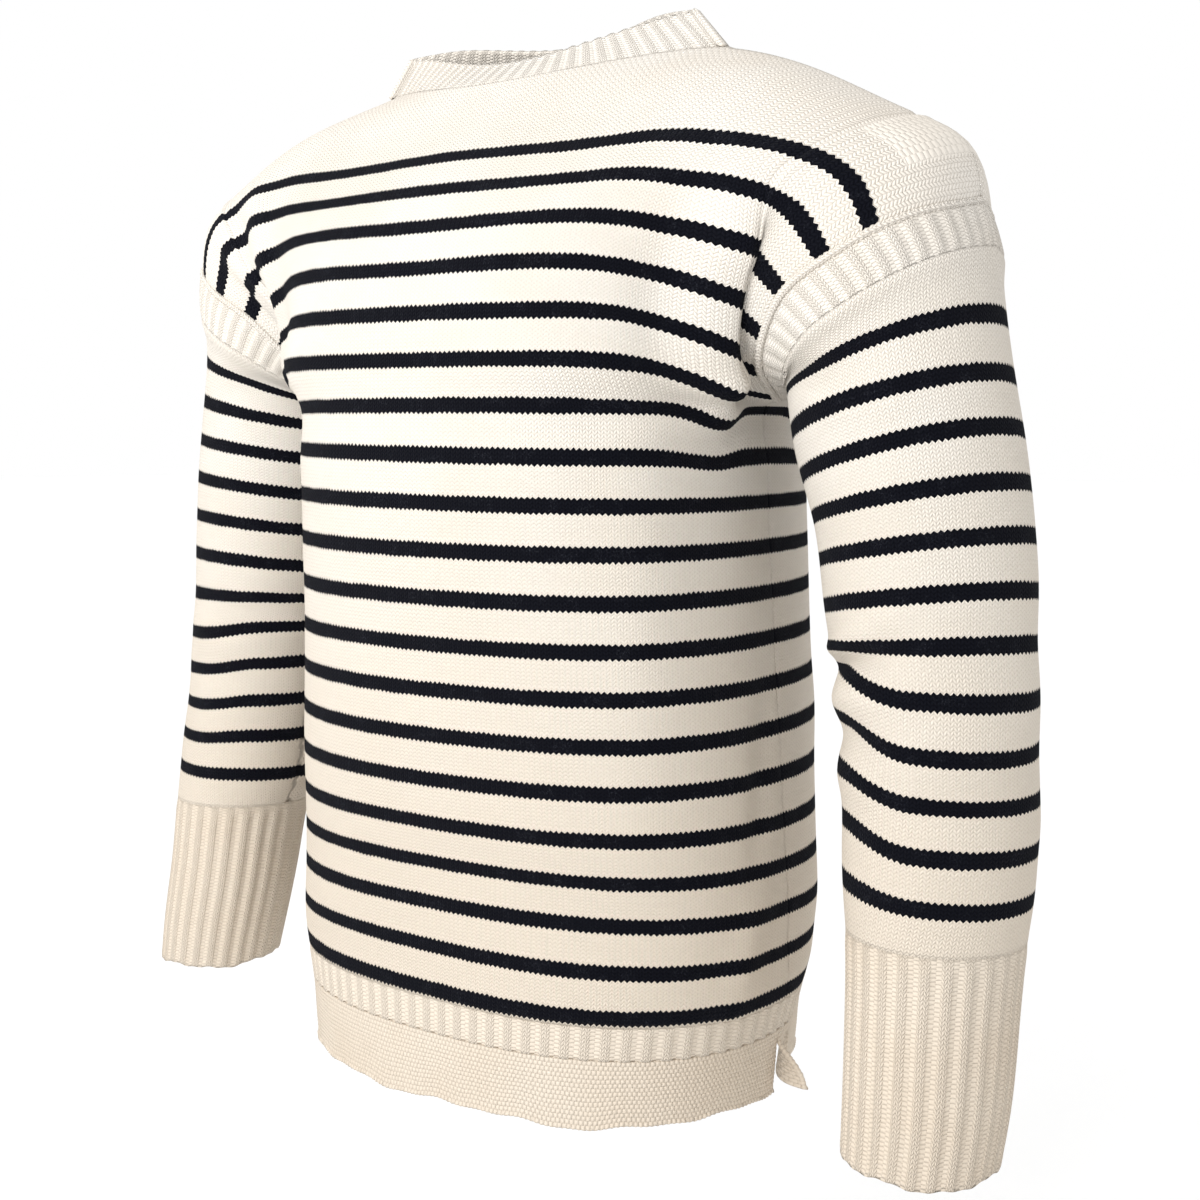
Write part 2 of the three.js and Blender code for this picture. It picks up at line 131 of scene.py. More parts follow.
RIGHT_ARM = np.array([
    [30, 243, -8, 119, 58, 64, 0.58, -0.02],
    [61, 246, -8, 99, 58, 60, 0.34, -0.05],
    [89, 248, -9, 75, 61, 59, 0.20, -0.03],
    [117, 254, -9, 48, 60.5, 58, 0.15, -0.04],
    [145, 260, -9, 20, 59, 57, 0.13, -0.06],
    [173, 264, -9, -8, 58.5, 56, 0.10, -0.07],
    [201, 267, -9, -36, 58, 56, 0.08, -0.07],
    [229, 270, -10, -64, 56, 55, 0.02, -0.05],
    [257, 273, -11, -91, 56, 55, -0.03, -0.02],
    [285, 275, -13, -118, 55, 55, -0.03, -0.01],
    [313, 278, -15, -145, 54, 54, 0.00, -0.01],
    [341, 282, -18, -171, 53, 53, 0.03, -0.02],
    [369, 285, -21, -198, 52, 52, 0.04, -0.04],
    [395, 290, -24, -223, 49, 50, 0, -0.02],
    [440, 292, -32, -269, 46, 48, 0, 0],
    [485, 294, -42, -317, 44, 46, 0, 0],
    [510, 294, -48, -343, 42, 44, 0, 0]])
ARM_BLEND = 45.0
WAY_TOP = (0.45, -0.90)
WAY_UNDER = (0.95, -0.25)

# ---- the knitting -------------------------------------------------------------------
WALE = 2 * HALF_WIDTH / 148
ROW = 28 / 12
RIB_WALE = 12.5 / 4
WELT_WALE = 2.95
WELT_RIDGE = (WELT_ROW - HEM_ROW) / 15
HALF_WALL = 1.2
FIRST_SLEEVE_STRIPE = 61.0


# ---- interpolation ------------------------------------------------------------------
def smooth(x):
    x = np.clip(x, 0, 1)
    return x * x * (3 - 2 * x)


def spline_matrix(knots, at):
    """Rows of weights: a natural cubic spline through values at the knots, read at each place."""
    k = np.asarray(knots, float)
    at = np.asarray(at, float).ravel()
    n, h = len(k), np.diff(k)
    left, right = np.eye(n), np.zeros((n, n))
    for i in range(1, n - 1):
        left[i, i - 1:i + 2] = h[i - 1], 2 * (h[i - 1] + h[i]), h[i]
        right[i, i - 1:i + 2] = 6 / h[i - 1], -6 / h[i - 1] - 6 / h[i], 6 / h[i]
    second = np.linalg.solve(left, right)
    i = np.clip(np.searchsorted(k, at) - 1, 0, n - 2)
    a = (k[i + 1] - at) / h[i]
    b = 1 - a
    out = ((a ** 3 - a) * h[i] ** 2 / 6)[:, None] * second[i]
    out += ((b ** 3 - b) * h[i] ** 2 / 6)[:, None] * second[i + 1]
    out[np.arange(len(at)), i] += a
    out[np.arange(len(at)), i + 1] += b
    return out


def table_row(table, at):
    return [np.interp(at, table[:, 0], table[:, k]) for k in range(1, table.shape[1])]


def quarter_ring(wide, deep, power, fractions):
    angle = np.linspace(0, np.pi / 2, 181)
    x = wide * np.sin(angle) ** (2 / power)
    y = deep * np.maximum(0, np.cos(angle)) ** (2 / power)
    y[-1] = 0
    run = np.concatenate([[0], np.cumsum(np.hypot(np.diff(x), np.diff(y)))])
    goal = np.array(fractions) * run[-1]
    return np.stack([np.interp(goal, run, x), np.interp(goal, run, y)], 1)


# ---- body surface -------------------------------------------------------------------
def yoke_span(row):
    return np.clip((row - ARMPIT_ROW) / (SHOULDER_ROW - ARMPIT_ROW), 0, 1)


def tube_half(row, is_back):
    height, tilt_x, tilt_y, wide, front, back, power = table_row(TUBE, row)
    xy = quarter_ring(wide, back if is_back else front, power, np.array(STATIONS) / HALF_WIDTH)
    way = 1 if is_back else -1
    points = np.stack([xy[:, 0], way * xy[:, 1], np.full(len(xy), height)], 1)
    return points, tilt_x, tilt_y


def yoke_half(row, is_back):
    yc, zc, *rest = table_row(YOKE, row)
    right = np.array(rest[:9]).reshape(3, 3)
    seam, bow = np.array(rest[9:12]), rest[12]
    left = right[::-1] * [-1, 1, 1]
    knots = [-s for s in YOKE_STATIONS[:0:-1]] + YOKE_STATIONS
    values = np.concatenate([left, [[0, yc, zc]], right])
    points = spline_matrix(knots, STATIONS[:8]) @ values
    inner = right[2]
    dx, dz = seam[0] - inner[0], seam[2] - inner[2]
    length = math.hypot(dx, dz)
    middle = (inner + seam) / 2 + np.array([-dz, 0, dx]) / length * bow
    points = np.concatenate([points, [middle, seam]])
    if is_back:
        rise = yoke_span(row)
        inside = np.maximum(0, 1 - (np.array(STATIONS) / NECK_HALF) ** 2)
        points[:, 1] = (2 * BACK_MIDLINE * rise
                        - points[:, 1] * (1 - BACK_FLATTER * (1 - rise)))
        points[:, 2] += NECK_RISE * rise * inside
    return points, YOKE_TILT, 0.0


KNOTS = [-s for s in STATIONS[:0:-1]] + STATIONS


def body_net(is_back):
    rows = []
    for row in NET_ROWS:
        half, tilt_x, tilt_y = (tube_half if row < ARMPIT_ROW else yoke_half)(row, is_back)
        points = np.concatenate([half[:0:-1] * [-1, 1, 1], half])
        points[:, 2] += tilt_x * points[:, 0] + tilt_y * points[:, 1]
        rows.append(points)
    return np.array(rows)


NETS = {False: body_net(False), True: body_net(True)}


def surface(across, row, is_back):
    """Middle surface at each (across, row)."""
    shape = np.shape(across)
    net = NETS[is_back]
    up = spline_matrix(NET_ROWS, row) @ net.reshape(len(NET_ROWS), -1)
    sides = spline_matrix(KNOTS, across)
    return np.einsum("ns,nsk->nk", sides, up.reshape(-1, len(KNOTS), 3)).reshape(*shape, 3)


def panel_row(row, across, is_back):
    """Row lines above the break close up so that the top one follows the neckline."""
    low = NECK_BACK_ROW if is_back else NECK_FRONT_ROW
    w = np.minimum(1, np.abs(across) / NECK_HALF)
    top = low + (SHOULDER_ROW - low) * w * w
    share = (row - BREAK_ROW) / (SHOULDER_ROW - BREAK_ROW)
    return np.where(row <= BREAK_ROW, row, BREAK_ROW + (top - BREAK_ROW) * share)


def panel(across, row, is_back):
    """Middle surface of a body panel; the back takes the front's side and shoulder seams."""
    across, row = np.broadcast_arrays(np.asarray(across, float), np.asarray(row, float))
    points = surface(across, panel_row(row, across, is_back), is_back)
    if is_back:
        edge = np.where(across < 0, -HALF_WIDTH, HALF_WIDTH)
        low = np.minimum(row, ARMPIT_ROW)
        side = surface(edge, low, False) - surface(edge, low, True)
        near = smooth((np.abs(across) - YOKE_LINE) / (HALF_WIDTH - YOKE_LINE))
        near = near * (1 - smooth((row - ARMPIT_ROW) / 20))
        points = points + side * near[..., None]
        top = np.full(row.shape, SHOULDER_ROW)
        seam = surface(across, top, False) - surface(across, top, True)
        near = smooth((row - 250) / (SHOULDER_ROW - 250)) * (np.abs(across) >= NECK_HALF)
        points = points + seam * near[..., None]
    return points


# ---- sleeve surface -----------------------------------------------------------------
def armhole(side, angle):
    """Armhole edge by angle: 0 at the shoulder, a quarter at the front, half under the arm."""
    front = angle <= np.pi
    half = np.where(front, angle, 2 * np.pi - angle)
    row = ARMPIT_ROW + (SHOULDER_ROW - ARMPIT_ROW) * (1 - half / np.pi)
    edge = np.full(angle.shape, side * HALF_WIDTH)
    return np.where(front[..., None], panel(edge, row, False), panel(edge, row, True))


def arm(table, side, angle, down):
    seam = armhole(side, angle)
    shape = down.shape
    values = spline_matrix(table[:, 0], np.maximum(down, table[0, 0])) @ table[:, 1:]
    x, y, z, wide, deep, tilt_x, tilt_y = values.T.reshape(7, *shape)
    dx, dy = wide * np.cos(angle), -deep * np.sin(angle)
    ring = np.stack([side * (x + dx), y + dy, z + tilt_x * dx + tilt_y * dy], -1)
    blend = smooth(1 - down / ARM_BLEND)[..., None]
    under = ((1 - np.cos(angle)) / 2) ** 2
    way_x = side * (WAY_TOP[0] * (1 - under) + WAY_UNDER[0] * under)
    way_z = WAY_TOP[1] * (1 - under) + WAY_UNDER[1] * under
    way = np.stack([way_x, np.zeros(shape), way_z], -1)
    start = seam + way * down[..., None]
    ring = ring + way * np.minimum(0, down - table[0, 0])[..., None]
    return ring * (1 - blend) + start * blend


def collar_ring(across, is_back, share):
    points = panel(across, np.full(across.shape, SHOULDER_ROW), is_back)
    x = points[..., 0] * (1 - COLLAR_LEAN * share)
    y = NECK_DATUM[1] + (points[..., 1] - NECK_DATUM[1]) * (1 - COLLAR_LEAN_DEEP * share)
    middle = COLLAR_BACK if is_back else COLLAR_FRONT
    height = middle + (COLLAR_ENDS - middle) * (across / NECK_HALF) ** 2
    return np.stack([x, y, points[..., 2] + height * share], -1)


# ---- creases ------------------------------------------------------------------------
def creases(table, a, b):
    """Height of soft ridges (+) and troughs (-): a, b, angle, length, width, height."""
    height = np.zeros(a.shape)
    for ca, cb, turn, length, width, high in table:
        t = math.radians(turn)
        along = (a - ca) * math.cos(t) + (b - cb) * math.sin(t)
        off = (b - cb) * math.cos(t) - (a - ca) * math.sin(t)
        taper = np.clip(1 - (along / length) ** 2, 0, 1) ** 2
        height += high * taper * np.exp(-(off / width) ** 2)
    return height


def bell(x, width):
    return np.exp(-(x / width) ** 2)


def rib_wave(u):
    """1 on the two knit wales of a rib and 0 on the two purl ones."""
    return 0.5 + 0.5 * np.tanh(2.4 * np.sin(np.pi * u / 2)) / np.tanh(2.4)


# ---- meshes -------------------------------------------------------------------------
def grid_normals(points, closed, turn):
    if closed:
        across = np.roll(points, -1, 1) - np.roll(points, 1, 1)
    else:
        across = np.gradient(points, axis=1)
    up = np.gradient(points, axis=0)
    normal = np.cross(across, up) * turn
    return normal / np.maximum(1e-9, np.linalg.norm(normal, axis=-1, keepdims=True))


def to_row_frame(points):
    return (points - NECK_DATUM) / 1000


def make_object(name, points, faces, uvs, material):
    mesh = bpy.data.meshes.new(name)
    mesh.from_pydata(to_row_frame(points).tolist(), [], faces.tolist())
    layer = mesh.uv_layers.new(name="Knit")
    layer.data.foreach_set("uv", uvs.astype(np.float32).ravel())
    mesh.polygons.foreach_set("use_smooth", [True] * len(mesh.polygons))
    mesh.materials.append(material)
    mesh.update()
    piece = bpy.data.objects.new(name, mesh)
    bpy.context.scene.collection.objects.link(piece)
    return piece


def shell(name, outer, inner, closed, turn, u, v, material):
    """A thin closed shell from two grids. u and v have one more column where it is closed."""
    rows, columns = outer.shape[:2]
    spans = columns if closed else columns - 1
    j, i = np.meshgrid(np.arange(rows - 1), np.arange(spans), indexing="ij")
    j, i = j.ravel(), i.ravel()
    quads = []

    def quad(*corners):
        corners = corners if turn > 0 else corners[::-1]
        quads.append(np.stack([np.stack(np.broadcast_arrays(*c), -1) for c in corners], 1))

    quad((0, j, i), (0, j, i + 1), (0, j + 1, i + 1), (0, j + 1, i))
    quad((1, j + 1, i), (1, j + 1, i + 1), (1, j, i + 1), (1, j, i))
    k, top = np.arange(spans), rows - 1
    quad((0, 0, k + 1), (0, 0, k), (1, 0, k), (1, 0, k + 1))
    quad((0, top, k), (0, top, k + 1), (1, top, k + 1), (1, top, k))
    if not closed:
        k, last = np.arange(rows - 1), columns - 1
        quad((0, k, 0), (0, k + 1, 0), (1, k + 1, 0), (1, k, 0))
        quad((0, k + 1, last), (0, k, last), (1, k, last), (1, k + 1, last))
    corners = np.concatenate(quads)
    layer, row, column = corners[..., 0], corners[..., 1], corners[..., 2]
    faces = layer * rows * columns + row * columns + column % columns
    uvs = np.stack([u[row, column], v[row, column]], -1)
    points = np.concatenate([outer.reshape(-1, 3), inner.reshape(-1, 3)])
    return make_object(name, points, faces, uvs, material)


def knitted(name, points, closed, turn, u, v, material, relief=0.0, lift=0.0, wall=HALF_WALL):
    """A shell round a middle surface: lift moves both faces, relief only the outer one."""
    if np.ndim(lift):
        normal = grid_normals(points, closed, turn)
        points = points + normal * np.asarray(lift)[..., None]
    normal = grid_normals(points, closed, turn)
    relief = np.broadcast_to(relief, points.shape[:2])
    outer = points + normal * (wall + relief)[..., None]
    inner = points - normal * wall
    return shell(name, outer, inner, closed, turn, u, v, material)


def tube(name, path, radius, bumps, material):
    """A knitted cord along a closed path, with a stitch bump at each interval."""
    count, sides = len(path), 8
    ahead = np.roll(path, -1, 0) - np.roll(path, 1, 0)
    ahead /= np.linalg.norm(ahead, axis=1, keepdims=True)
    centre = path.mean(0)
    out = path - centre
    out -= ahead * (out * ahead).sum(1, keepdims=True)
    out /= np.linalg.norm(out, axis=1, keepdims=True)
    side = np.cross(ahead, out)
    run = np.concatenate([[0], np.cumsum(np.linalg.norm(np.roll(path, -1, 0) - path, axis=1))])
    angle = np.arange(sides) / sides * 2 * np.pi
    size = radius * (1 + 0.16 * np.cos(2 * np.pi * run[:-1] / bumps))
    ring = (out[:, None] * np.cos(angle)[None, :, None]
            + side[:, None] * np.sin(angle)[None, :, None])
    points = path[:, None] + ring * size[:, None, None]
    j, i = np.meshgrid(np.arange(count), np.arange(sides), indexing="ij")
    j, i = j.ravel(), i.ravel()
    rows = np.stack([j, j, j + 1, j + 1], 1)
    columns = np.stack([i, i + 1, i + 1, i], 1)
    faces = (rows % count) * sides + columns % sides
    u = columns / sides * 4
    uvs = np.stack([u, run[rows] / ROW], -1)
    return make_object(name, points.reshape(-1, 3), faces, uvs, material)


# ---- shader nodes -------------------------------------------------------------------
class Field:
    """A number that varies over a surface, with its arithmetic written as nodes."""

    def __init__(self, tree, socket):
        self.tree, self.socket = tree, socket

    def op(self, operation, *others):
        node = self.tree.nodes.new("ShaderNodeMath")
        node.operation = operation
        for slot, value in enumerate((self, *others)):
            if isinstance(value, Field):
                self.tree.links.new(value.socket, node.inputs[slot])
            else:
                node.inputs[slot].default_value = value
        return Field(self.tree, node.outputs[0])

    def __add__(self, other):
        return self.op("ADD", other)

    def __sub__(self, other):
        return self.op("SUBTRACT", other)

    def __mul__(self, other):
        return self.op("MULTIPLY", other)

    __radd__, __rmul__ = __add__, __mul__

    def minus_from(self, value):
        return (self * -1.0) + value

    def fract(self):
        return self.op("FRACT")

    def floor(self):
        return self.op("FLOOR")

    def modulo(self, step):
        return self - (self * (1.0 / step)).floor() * step

    def abs(self):
        return self.op("ABSOLUTE")

    def sin(self):
        return self.op("SINE")

    def power(self, value):
        return self.op("POWER", value)

    def above(self, value):
        return self.op("GREATER_THAN", value)

    def below(self, value):
        return self.op("LESS_THAN", value)

    def mixed(self, other, share):
        return self + (other - self) * share

    def ramp(self, low, high):
        node = self.tree.nodes.new("ShaderNodeMapRange")
        node.interpolation_type = "SMOOTHSTEP"
        self.tree.links.new(self.socket, node.inputs["Value"])
        node.inputs["From Min"].default_value = low
        node.inputs["From Max"].default_value = high
        return Field(self.tree, node.outputs["Result"])


def noise(tree, scale, detail=2.0, vector=None, roughness=0.5):
    node = tree.nodes.new("ShaderNodeTexNoise")
    node.inputs["Scale"].default_value = scale
    node.inputs["Detail"].default_value = detail
    node.inputs["Roughness"].default_value = roughness
    tree.links.new(vector, node.inputs["Vector"])
    return Field(tree, node.outputs["Fac"])


def mix_colour(tree, share, first, second):
    node = tree.nodes.new("ShaderNodeMix")
    node.data_type = "RGBA"
    tree.links.new(share.socket, node.inputs["Factor"])
    for slot, colour in ((6, first), (7, second)):
        if isinstance(colour, tuple):
            node.inputs[slot].default_value = (*colour, 1)
        else:
            tree.links.new(colour, node.inputs[slot])
    return node.outputs[2]


CREAM = (0.72, 0.664, 0.588)
CREAM_PALE = (0.76, 0.72, 0.662)
CREAM_LOW_SHADE = (0.69, 0.61, 0.512)
SHADE_FROM, SHADE_TO = -0.16, -0.56  # object z, metres: where the painted shade that darkens the cream towards the bottom starts and ends
# darker, warmer cream of the low cuffs and welts: partly the yarn's own deeper tone, partly
# painted shade
CREAM_WARM_SHADE = (0.655, 0.562, 0.455)
# painted shade colour for the gaps between stitches
CREAM_GAP_SHADE = (0.40, 0.32, 0.225)
NAVY = (0.0022, 0.0025, 0.005)
# lighter navy for the fuzz fibres and for the painted highlight on stitch tops
NAVY_FUZZ_AND_HIGHLIGHT = (0.045, 0.048, 0.06)
LEAN = 0.66


def stockinette(u, v):
    """Height of the knitted legs, and the row that each place belongs to."""
    across = (u.fract() - 0.5).abs() * 2.0
    climb = v - across * LEAN
    leg = (across * 2.0 - 1.0).power(2.0).minus_from(1.0).op("MAXIMUM", 0.0).power(0.5)
    bead = (climb.fract() * math.pi).sin().power(0.8)
    return (leg * 0.6 + 0.4) * (bead * 0.72 + 0.28), (climb + LEAN / 2).floor()


def purl(u, v):
    """Height of the purl bumps, staggered from wale to wale."""
    stagger = u.floor().modulo(2.0) * 0.5
    bead = ((v + stagger).fract() * math.pi).sin()
    return bead.power(0.6) * 0.6 + (u.fract() * math.pi).sin() * 0.2 + 0.15


def garter(u, v):
    """Height of garter ridges, each a row of interlocking bumps."""
    ridge = v * 0.5
    stagger = ridge.floor().modulo(2.0) * 0.5
    bump = ((u + stagger).fract() * math.pi).sin()
    arch = (ridge.fract() * math.pi).sin().power(0.6) * 0.45 + 0.55
    return arch * (bump.power(0.9) * 0.75 + 0.25)


def wool(name, kind, stripes=None, moss=None, warm_and_shaded=False):
    """Knitted wool. stripes is (lowest, highest) of v; moss is (least u, lowest v)."""
    material = bpy.data.materials.new(name)
    material.use_nodes = True
    tree = material.node_tree
    links = tree.links
    shader = tree.nodes["Principled BSDF"]
    uv = tree.nodes.new("ShaderNodeUVMap")
    uv.uv_map = "Knit"
    place = tree.nodes.new("ShaderNodeTexCoord").outputs["Object"]
    drift = noise(tree, 0.23, 1.0, uv.outputs["UV"]) - 0.5
    wander = noise(tree, 0.9, 1.0, uv.outputs["UV"]) - 0.5
    split = tree.nodes.new("ShaderNodeSeparateXYZ")
    links.new(uv.outputs["UV"], split.inputs[0])
    u = Field(tree, split.outputs[0]) + wander * 0.22
    v = Field(tree, split.outputs[1]) + drift * 0.5 + wander * 0.25
    fibre = noise(tree, 1150.0, 4.0, place, 0.65)
    strand = noise(tree, 420.0, 3.0, place, 0.6)
    patch = noise(tree, 14.0, 3.0, place)
    height, row = stockinette(u, v)
    if kind == "rib":
        raised = (u * (math.pi / 2)).sin().ramp(-0.15, 0.15)
        height = purl(u, v).mixed(height, raised)
    if kind == "garter":
        height = garter(u, v)
    if moss:
        bumps = purl(u, v * 0.62)
        inside = u.abs().ramp(moss[0], moss[0] + 0.6) * u.abs().ramp(moss[1], moss[1] - 0.6)
        inside = inside * Field(tree, split.outputs[1]).ramp(moss[2], moss[2] + 0.8)
        height = height.mixed(bumps * 1.35, inside)
    surface_height = height + fibre * 0.26 + strand * 0.16
    # the low cuffs and welts take the darker, warmer cream: partly yarn tone, partly painted shade
    base, pale = (CREAM_WARM_SHADE, CREAM_LOW_SHADE) if warm_and_shaded else (CREAM, CREAM_PALE)
    cream = mix_colour(tree, patch.ramp(0.2, 0.85), base, pale)
    # painted shade: the cream darkens towards the bottom, where less light falls
    if not warm_and_shaded:
        level = tree.nodes.new("ShaderNodeSeparateXYZ")
        links.new(place, level.inputs[0])
        low_shade = Field(tree, level.outputs[2]).ramp(SHADE_FROM, SHADE_TO)
        cream = mix_colour(tree, low_shade, cream, CREAM_LOW_SHADE)
    # painted shade in the gaps between stitches: the low parts of the stitch relief darken towards
    # a brown gap colour
    light = height.ramp(0.05, 0.55)
    cream = mix_colour(tree, light * 0.62 + 0.38, CREAM_GAP_SHADE, cream)
    speck = fibre.ramp(0.56, 0.74) * 0.35
    cream = mix_colour(tree, speck, cream, (0.92, 0.885, 0.82))
    colour = cream
    if stripes:
        dark = (row + 2.0).modulo(12.0).below(3.5)
        level = Field(tree, split.outputs[1])
        dark = dark * level.above(stripes[0]) * level.below(stripes[1])
        hair = (noise(tree, 300.0, 2.0, place, 0.7) - 0.5).abs().ramp(0.014, 0.004)
        hair = hair * noise(tree, 90.0, 1.0, place).ramp(0.5, 0.62)
        # fuzz fibres on the navy, plus a painted highlight that lightens the stitch tops
        fuzz_and_lit_tops = height.ramp(0.2, 1.0) * 0.07 + hair * 0.4 + fibre.ramp(0.5, 0.8) * 0.08
        navy = mix_colour(tree, fuzz_and_lit_tops, NAVY, NAVY_FUZZ_AND_HIGHLIGHT)
        colour = mix_colour(tree, dark, cream, navy)
    links.new(colour, shader.inputs["Base Color"])
    shader.inputs["Roughness"].default_value = 0.92
    shader.inputs["Specular IOR Level"].default_value = 0.02
    shader.inputs["Sheen Weight"].default_value = 0.02
    shader.inputs["Sheen Roughness"].default_value = 0.5
    bump = tree.nodes.new("ShaderNodeBump")
    bump.inputs["Strength"].default_value = 1.0
    bump.inputs["Distance"].default_value = 0.0009 if kind == "knit" else 0.0011
    links.new(surface_height.socket, bump.inputs["Height"])
    links.new(bump.outputs["Normal"], shader.inputs["Normal"])
    return material


BODY_STRIPES = (-147.0, 87.0)
SLEEVE_STRIPES = (-135.0, 3.0)
body_wool = wool("body_wool", "knit", BODY_STRIPES, moss=(62.0, 69.3, 96.0))
sleeve_wool = wool("sleeve_wool", "knit", SLEEVE_STRIPES)
rib_wool = wool("rib_wool", "rib")
cuff_wool = wool("cuff_wool", "rib", warm_and_shaded=True)
welt_wool = wool("welt_wool", "garter", warm_and_shaded=True)
edge_wool = wool("edge_wool", "knit")

# ---- creases of each piece ----------------------------------------------------------
# a and b are across and row on the panels; round (mm from the outer line) and down on sleeves
FRONT_CREASES = [
    (196, 120, 84, 90, 10, 2), (172, 120, 86, 100, 12, -2.5),
    (-204, 118, 90, 105, 9, -8), (-178, 118, 90, 125, 12, 6.5), (-226, 140, 84, 80, 8, 4.5),
    (-242, 120, 86, 70, 6, -3), (216, 66, 40, 46, 9, 5), (204, 44, 24, 62, 9, -4.5),
    (190, 24, 16, 74, 11, 3.5), (176, 2, 10, 80, 12, -2.5), (-204, 40, -24, 60, 10, -4),
    (150, -70, 88, 250, 24, 3), (62, -60, 88, 260, 42, -2), (-120, -300, 15, 130, 22, 2.5),
    (60, -255, -9, 170, 26, -2.2), (118, -322, 6, 120, 18, 2.6), (-60, -180, 8, 150, 30, 1.8),
    (-30, -110, -6, 160, 26, -1.6), (214, -300, 76, 90, 12, 3), (232, -200, 80, 110, 10, -3)]
BACK_CREASES = [
    (204, 108, 84, 92, 9, -6), (184, 112, 84, 95, 12, 4), (-202, 112, 90, 95, 9, -6),
    (-180, 112, 90, 100, 12, 4), (202, 40, 24, 62, 10, -4), (-200, 38, -24, 62, 10, -4),
    (0, -60, 90, 240, 46, -3), (110, -180, 12, 150, 26, 2.4), (-90, -240, -10, 160, 26, 2.4),
    (30, -300, 6, 150, 24, -2.2), (-150, -120, 14, 110, 22, -2), (60, 60, -8, 130, 30, 2)]
LEFT_CREASES = [
    (126, 226, 22, 58, 9, 3.5), (120, 246, 24, 64, 8, -5), (116, 268, 20, 62, 8, 4),
    (124, 292, 14, 60, 9, -4.2), (120, 316, 8, 60, 11, 3), (128, 62, -24, 66, 10, -4.5),
    (112, 84, -20, 60, 11, 3), (-120, 236, -16, 60, 9, -4), (-110, 262, -12, 60, 10, 3.5),
    (-118, 290, -8, 55, 10, -3.5), (40, 336, 6, 90, 16, 2), (0, 180, 86, 120, 22, 1.5)]
RIGHT_CREASES = [
    (-12, 246, 6, 48, 8, 3), (-8, 262, 10, 50, 7, -4.5), (6, 280, -6, 46, 8, 3.2),
    (12, 298, -8, 44, 8, -3), (104, 238, 18, 60, 9, -4), (98, 262, 16, 60, 10, 3.5),
    (108, 288, 12, 55, 9, -3.5), (110, 62, -24, 62, 10, -4.5), (-112, 250, -16, 60, 9, -4),
    (-104, 274, -12, 60, 10, 3), (20, 120, 84, 110, 20, 1.5)]


# ---- body panels --------------------------------------------------------------------
def columns(step, extra=()):
    base = np.linspace(-HALF_WIDTH, HALF_WIDTH, int(round(2 * HALF_WIDTH / step)) + 1)
    more = [way * s for way in (-1, 1) for s in extra]
    return np.unique(np.concatenate([base, more]).round(3))


def drawn(points, closed=False, first=True, last=True, sides=True):
    """Edges drawn back by half the seam gap."""
    points = points.copy()

    def pull(edge, beside):
        step = beside - edge
        return edge + step / np.linalg.norm(step, axis=-1, keepdims=True) * SEAM_GAP / 2

    if first:
        points[0] = pull(points[0], points[1])
    if last:
        points[-1] = pull(points[-1], points[-2])
    if sides and not closed:
        points[:, 0] = pull(points[:, 0], points[:, 1])
        points[:, -1] = pull(points[:, -1], points[:, -2])
    return points


def edge_dip(across, row):
    """The panel rolls in a little at its side, shoulder and armhole seams."""
    side = bell(HALF_WIDTH - np.abs(across), 3.0)
    top = bell(SHOULDER_ROW - row, 3.0) * (np.abs(across) > NECK_HALF)
    mock = bell(np.abs(across) - YOKE_LINE, 1.7) * smooth((row - 30) / 30)
    ridge = bell(np.abs(across) - YOKE_LINE - 3.2, 2.0) * smooth((row - 30) / 30)
    return -0.5 * side - 1.0 * top - 1.2 * mock + 0.6 * ridge


def armhole_fold(s, t, table):
    """Pushes the cloth beside an armhole over into a soft fold: side, centre, x, y, z."""
    moved = np.zeros((*s.shape, 3))
    for way, centre, *push in table:
        gap = way * s - centre
        across = np.exp(-(gap / np.where(gap < 0, 27.0, 17.0)) ** 2)
        share = across * smooth((186 - t) / 56) * smooth((t - 14) / 52)
        droop = across * smooth((186 - t) / 56) * smooth((t + 34) / 84)
        moved += np.stack([share * push[0], share * push[1], droop * push[2]], -1)
    return moved


FRONT_FOLDS = [(1, 207, 26.0, 0.0, -10.0), (-1, 207, -11.0, -9.0, -8.0)]
BACK_FOLDS = [(1, 207, 9.0, 6.0, -4.0), (-1, 209, -12.0, 5.0, -5.0)]


def vent_corner(s, t):
    """Bends the left corner of the back welt outwards into a narrow curl below the vent."""
    fall = smooth((WELT_ROW - t) / (WELT_ROW - HEM_ROW))
    share = smooth((s - 243) / (HALF_WIDTH - 243)) * fall
    rise = 24 * fall * bell(s - 233, 11)
    return np.stack([22 * share, 4 * share, 5 * share + rise], -1)


def hem_tuck(s, t):
    """The back hem draws in beside the left vent."""
    tuck = 8 * smooth((-280 - t) / 100) * bell(s - 200, 32)
    return np.stack([-tuck, -0.5 * tuck, np.zeros(s.shape)], -1)


def body_panel(name, is_back, table):
    across = columns(4.0, (208, 209.5, 210.7, 212, 213.3, 214.6, 216.2, 218, 250.5, 253.5))
    row = np.concatenate([np.linspace(RIB_ROW, 252, 150), [257, 261, 264.5, 267, SHOULDER_ROW]])
    s, t = np.meshgrid(across, row)
    points = panel(s, t, is_back) + armhole_fold(s, t, BACK_FOLDS if is_back else FRONT_FOLDS)
    if is_back:
        points = points + hem_tuck(s, t)
    points = drawn(points)
    v = panel_row(t, s, is_back) / ROW
    lift = creases(table, s, t)
    return knitted(name, points, False, -1 if is_back else 1, s / WALE, v, body_wool,
                   relief=edge_dip(s, t), lift=lift)


def rib_band(name, is_back):
    across = columns(1.25)
    row = np.linspace(WELT_ROW, RIB_ROW, 12)
    s, t = np.meshgrid(across, row)
    points = drawn(panel(s, t, is_back))
    if is_back:
        points = points + hem_tuck(s, t)
    u = s / RIB_WALE + 1.0
    fade = smooth((RIB_ROW - t) / 4)
    relief = (rib_wave(u) * 1.25 - 0.75) * fade
    return knitted(name, points, False, -1 if is_back else 1, u, t / ROW, rib_wool, relief=relief)


